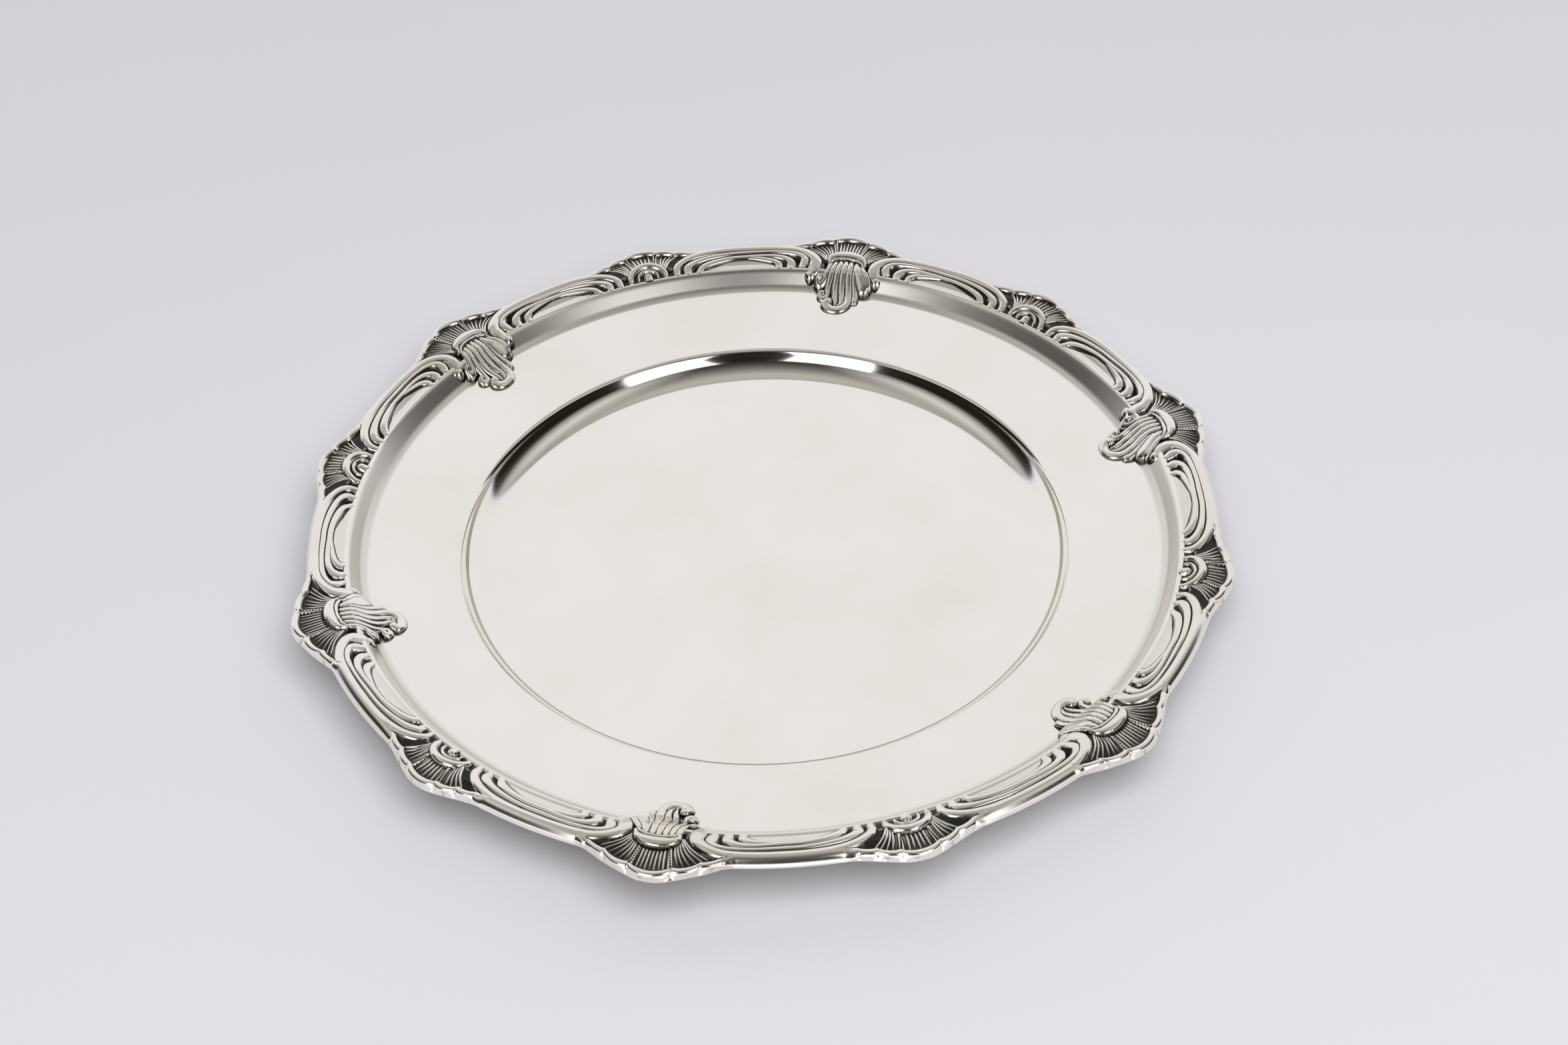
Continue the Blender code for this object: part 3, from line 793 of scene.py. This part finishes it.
class Nodes:
    """Short calls that add shader nodes to one node tree and link them."""

    def __init__(self, tree):
        self.tree = tree

    def add(self, kind, settings=(), **inputs):
        node = self.tree.nodes.new(kind)
        for key, value in dict(settings).items():
            setattr(node, key, value)
        for key, value in inputs.items():
            self.put(node.inputs[key.replace("_", " ")], value)
        return node

    def put(self, socket, value):
        if isinstance(value, bpy.types.NodeSocket):
            self.tree.links.new(value, socket)
        else:
            socket.default_value = value

    def ramp(self, value, *stops):
        node = self.add("ShaderNodeValToRGB")
        node.color_ramp.elements[0].position, node.color_ramp.elements[0].color = stops[0]
        node.color_ramp.elements[1].position, node.color_ramp.elements[1].color = stops[-1]
        for place, colour in stops[1:-1]:
            node.color_ramp.elements.new(place).color = colour
        self.put(node.inputs["Fac"], value)
        return node.outputs["Color"]

    def scaled(self, value, **limits):
        return self.add("ShaderNodeMapRange", Value=value, **limits).outputs[0]

    def product(self, first, second):
        node = self.add("ShaderNodeMath", {"operation": "MULTIPLY"})
        self.put(node.inputs[0], first)
        self.put(node.inputs[1], second)
        return node.outputs[0]

    def sum(self, first, second):
        node = self.add("ShaderNodeMath", {"operation": "ADD"})
        self.put(node.inputs[0], first)
        self.put(node.inputs[1], second)
        return node.outputs[0]

    def mix(self, factor, first, second):
        node = self.add("ShaderNodeMix", {"data_type": "RGBA"})
        self.put(node.inputs[0], factor)
        self.put(node.inputs[6], first)
        self.put(node.inputs[7], second)
        return node.outputs[2]


def new_material(name):
    """A material with the helper for its nodes and its shader's inputs."""
    material = bpy.data.materials.new(name)
    material.use_nodes = True
    made = Nodes(material.node_tree)
    return material, made, made.tree.nodes["Principled BSDF"].inputs


SILVER = (0.95, 0.925, 0.885, 1.0)
WARM_SILVER = (0.88, 0.84, 0.77, 1.0)
# The cove band's colour, painted darker as shade.
SHADED_SATIN_SILVER = (0.84, 0.81, 0.76, 1.0)
CAST_WARM = (0.80, 0.75, 0.65, 1.0)
# Thin oxide's colour, which also paints the grey reflection stripes in the walls' flutes.
THIN_OXIDE_AND_REFLECTION = (0.30, 0.27, 0.225, 1.0)
OXIDE = (0.035, 0.034, 0.036, 1.0)
SATIN_ROUGHNESS, OXIDE_ROUGHNESS = 0.25, 0.34
# Noise per metre: warm clouds some centimetres wide, and rubbing marks finer than a millimetre.
CLOUDS, RUBBING = 28.0, 2400.0
RUBBING_DEPTH = 0.05 * MM


def silver(name, polish, haze, oxidised):
    """Polished silver with faint warm clouds, rubbing marks and, if oxidised, dark recesses and
    painted reflection stripes; if not, a cove band painted darker as shade.
    """
    material, made, inputs = new_material(name)
    place = made.add("ShaderNodeTexCoord").outputs["Object"]
    clouds = made.add("ShaderNodeTexNoise", Vector=place, Scale=CLOUDS, Detail=4.0).outputs["Fac"]
    fine = made.add("ShaderNodeTexNoise", Vector=place, Scale=RUBBING, Detail=3.0).outputs["Fac"]
    warmth = made.ramp(clouds, (0.4, (0, 0, 0, 1)), (0.7, (0.6, 0.6, 0.6, 1)))
    colour = made.mix(warmth, SILVER, CAST_WARM if oxidised else WARM_SILVER)
    rough = made.scaled(fine, To_Min=polish, To_Max=polish + haze)
    finish_and_shade = made.add("ShaderNodeAttribute", {"attribute_name": "finish_and_shade"}).outputs["Fac"]
    if oxidised:
        speckle = made.product(finish_and_shade, made.sum(made.product(fine, 0.24), 0.88))
        # Thin oxide, and the painted reflection stripes in the walls' flutes.
        thin = made.scaled(speckle, From_Min=0.08, From_Max=0.5)
        thick = made.scaled(speckle, From_Min=0.4, From_Max=1.0)
        colour = made.mix(thick, made.mix(thin, colour, THIN_OXIDE_AND_REFLECTION), OXIDE)
        rough = made.scaled(thick, To_Min=rough, To_Max=OXIDE_ROUGHNESS)
    else:
        # The cove band is rougher, and its colour is painted darker as shade.
        rough = made.sum(rough, made.product(finish_and_shade, SATIN_ROUGHNESS))
        colour = made.mix(finish_and_shade, colour, SHADED_SATIN_SILVER)
    bump = made.add("ShaderNodeBump", Strength=0.04, Distance=RUBBING_DEPTH, Height=fine)
    made.put(inputs["Base Color"], colour)
    made.put(inputs["Roughness"], rough)
    made.put(inputs["Metallic"], 1.0)
    made.put(inputs["Normal"], bump.outputs["Normal"])
    return material


def paper(name, colour):
    """Matt paper with a faint grain."""
    material, made, inputs = new_material(name)
    place = made.add("ShaderNodeTexCoord").outputs["Object"]
    grain = made.add("ShaderNodeTexNoise", Vector=place, Scale=6.0, Detail=5.0).outputs["Fac"]
    lighter = tuple(min(part * 1.03, 1.0) for part in colour[:3]) + (1.0,)
    made.put(inputs["Base Color"], made.mix(grain, colour, lighter))
    made.put(inputs["Roughness"], 0.9)
    made.put(inputs["Specular IOR Level"], 0.1)
    return material


# ---------------------------------------------------------------- the object


def add_piece(name, mesh, node):
    """Puts a mesh in the scene as the look of one CAD node."""
    piece = bpy.data.objects.new(name, mesh)
    bpy.context.scene.collection.objects.link(piece)
    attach(piece, "root")
    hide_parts(node)


def build_object():
    """The body, and six turned copies of each casting."""
    cast = silver("cast_silver", 0.15, 0.09, True)
    spun = silver("spun_silver", 0.07, 0.05, False)
    body = body_mesh()
    body.materials.append(spun)
    add_piece("body", body, "plate_body")
    meshes = border_meshes()
    for _, name, node in CASTINGS:
        meshes[name].materials.append(cast)
        for turn in range(REPEATS):
            turned = meshes[name].copy()
            turned.transform(Matrix.Rotation(-turn * tau / REPEATS, 4, "Z"))
            add_piece(f"{name}_{turn + 1}", turned, f"{node}_{turn + 1}")


# ---------------------------------------------------------------- the studio

# The camera, fitted to the photograph: focal length over picture width, metres and degrees.
FOCAL_SHARE = 4059.3 / 2352
SENSOR_WIDTH = 36.0
CAMERA_AT = (0.13464, -0.54422, 0.52241)
CAMERA_PITCH = 42.2346
CAMERA_HEADING = 13.309
CAMERA_ROLL = -1.8301

FLOOR_COLOUR = (0.655, 0.648, 0.69, 1.0)
FLOOR_HALF, FLOOR_DROP = 3, 0.0002
# The soft boxes behind the plate: name, degrees to the right of the view, width and glow.
SOFT_BOXES = (("soft_right", 35.0, 0.66, 1.35), ("soft_left", -28.0, 0.62, 1.9))
BOX_HEIGHT, BOX_AWAY, BOX_LIFT = 0.95, 1.25, 23
# The bright floor before the plate, which only reflections see.
APRON_SIZE, APRON_GLOW, APRON_AHEAD, APRON_LIFT = (2.6, 1.14), 0.58, 0.74, 0.001
APRON_COLOUR = (1.0, 0.98, 0.9)
# The lamp that lights the paper: towards the camera, to its right, and up.
FILL_AT, FILL_SIZE, FILL_POWER = (1.1, 0.3, 1.9), (2.4, 2.4), 57.0
WHITE = (1.0, 1.0, 1.0)

# The room's light from low down in front of the plate to high above it.
ROOM = (
    (0.0, (0.02, 0.014, 0.01, 1)), (0.3, (0.012, 0.009, 0.007, 1)),
    (0.42, (0.03, 0.025, 0.021, 1)), (0.6, (0.085, 0.078, 0.07, 1)),
    (0.77, (0.2, 0.19, 0.175, 1)), (0.87, (0.33, 0.32, 0.295, 1)),
    (0.94, (0.47, 0.455, 0.42, 1)), (1.0, (0.5, 0.485, 0.45, 1)),
)
FLANK_COLOUR = (0.74, 0.73, 0.7, 1.0)
SEAM_COLOUR = (0.5, 0.54, 0.72, 1.0)
BACKDROP_COLOUR = (0.85, 0.843, 0.845, 1.0)


def add_camera():
    """The camera that took the photograph."""
    lens = bpy.data.cameras.new("camera")
    lens.sensor_width = SENSOR_WIDTH
    lens.lens = SENSOR_WIDTH * FOCAL_SHARE
    camera = bpy.data.objects.new("camera", lens)
    turn = Matrix.Rotation(radians(CAMERA_HEADING), 4, "Z")
    tilt = Matrix.Rotation(radians(90 - CAMERA_PITCH), 4, "X")
    roll = Matrix.Rotation(radians(CAMERA_ROLL), 4, "Z")
    camera.matrix_world = Matrix.Translation(CAMERA_AT) @ turn @ tilt @ roll
    bpy.context.scene.collection.objects.link(camera)
    bpy.context.scene.camera = camera


def add_light(name, at, aim, size, power, colour):
    """A rectangular lamp that the camera doesn't see."""
    lamp = bpy.data.lights.new(name, "AREA")
    lamp.shape = "RECTANGLE"
    lamp.size, lamp.size_y = size
    lamp.energy = power
    lamp.color = colour
    light = bpy.data.objects.new(name, lamp)
    light.location = at
    light.rotation_euler = (Vector(aim) - Vector(at)).to_track_quat("-Z", "Y").to_euler()
    light.visible_camera = False
    bpy.context.scene.collection.objects.link(light)
    return light


def add_glow(name, at, aim, size, glow, colour):
    """A lamp of a given brightness, which only reflections see."""
    light = add_light(name, at, aim, size, pi * glow * size[0] * size[1], colour)
    light.visible_diffuse = False
    return light


def add_floor():
    """A sheet of paper under the plate."""
    near, far = -FLOOR_HALF, FLOOR_HALF
    mesh = bpy.data.meshes.new("floor")
    corners = [(near, near, 0), (far, near, 0), (far, far, 0), (near, far, 0)]
    mesh.from_pydata(corners, [], [(0, 1, 2, 3)])
    mesh.materials.append(paper("floor_paper", FLOOR_COLOUR))
    floor = bpy.data.objects.new("floor", mesh)
    floor.location.z = -FLOOR_DROP
    bpy.context.scene.collection.objects.link(floor)


def add_lights():
    """Two soft boxes behind the plate, a bright floor before it, and a lamp above."""
    heading = radians(CAMERA_HEADING)
    front, right = Vector((sin(heading), -cos(heading), 0)), Vector((cos(heading), sin(heading), 0))
    up, middle = Vector((0, 0, 1)), (0, 0, 0)
    for name, side, wide, glow in SOFT_BOXES:
        turn, lift = radians(side - 90 + CAMERA_HEADING), radians(BOX_LIFT)
        at = Vector((cos(turn) * cos(lift), sin(turn) * cos(lift), sin(lift))) * BOX_AWAY
        add_glow(name, at, middle, (wide, BOX_HEIGHT), glow, WHITE)
    at = front * APRON_AHEAD + up * APRON_LIFT
    apron = add_glow("apron", at, at + up, APRON_SIZE, APRON_GLOW, APRON_COLOUR)
    apron.rotation_euler.z += heading
    ahead, aside, above = FILL_AT
    at = front * ahead + right * aside + up * above
    fill = add_light("fill", at, middle, FILL_SIZE, FILL_POWER, WHITE)
    fill.visible_glossy = False


def add_world():
    """A white backdrop behind the plate, a beige ceiling, and a dark room low down before it."""
    world = bpy.data.worlds.new("studio")
    bpy.context.scene.world = world
    world.use_nodes = True
    made = Nodes(world.node_tree)
    direction = made.add("ShaderNodeTexCoord").outputs["Generated"]
    turned = made.add("ShaderNodeVectorRotate", {"rotation_type": "Z_AXIS"}, Vector=direction,
                      Angle=radians(-CAMERA_HEADING))
    side, away, up = made.add("ShaderNodeSeparateXYZ", Vector=turned.outputs[0]).outputs
    gauge = made.sum(up, made.product(away, 0.3))
    room = made.ramp(made.product(gauge, 1 / 1.1), *ROOM)
    aside = made.add("ShaderNodeMath", {"operation": "ABSOLUTE"})
    made.put(aside.inputs[0], side)
    flank = made.scaled(aside.outputs[0], From_Min=0.3, From_Max=0.6, To_Max=0.92)
    high = made.scaled(up, From_Min=0.5, From_Max=0.8)
    room = made.mix(made.product(flank, high), room, FLANK_COLOUR)
    behind = made.sum(away, made.product(up, -0.32))
    seam = made.scaled(behind, From_Min=0.285, From_Max=0.295)
    sheet = made.scaled(behind, From_Min=0.297, From_Max=0.315)
    colour = made.mix(sheet, made.mix(seam, room, SEAM_COLOUR), BACKDROP_COLOUR)
    background = made.tree.nodes["Background"]
    made.put(background.inputs["Color"], colour)
    made.put(background.inputs["Strength"], 1.0)


build_object()
add_camera()
add_floor()
add_world()
add_lights()
bpy.context.scene.view_settings.view_transform = "Standard"
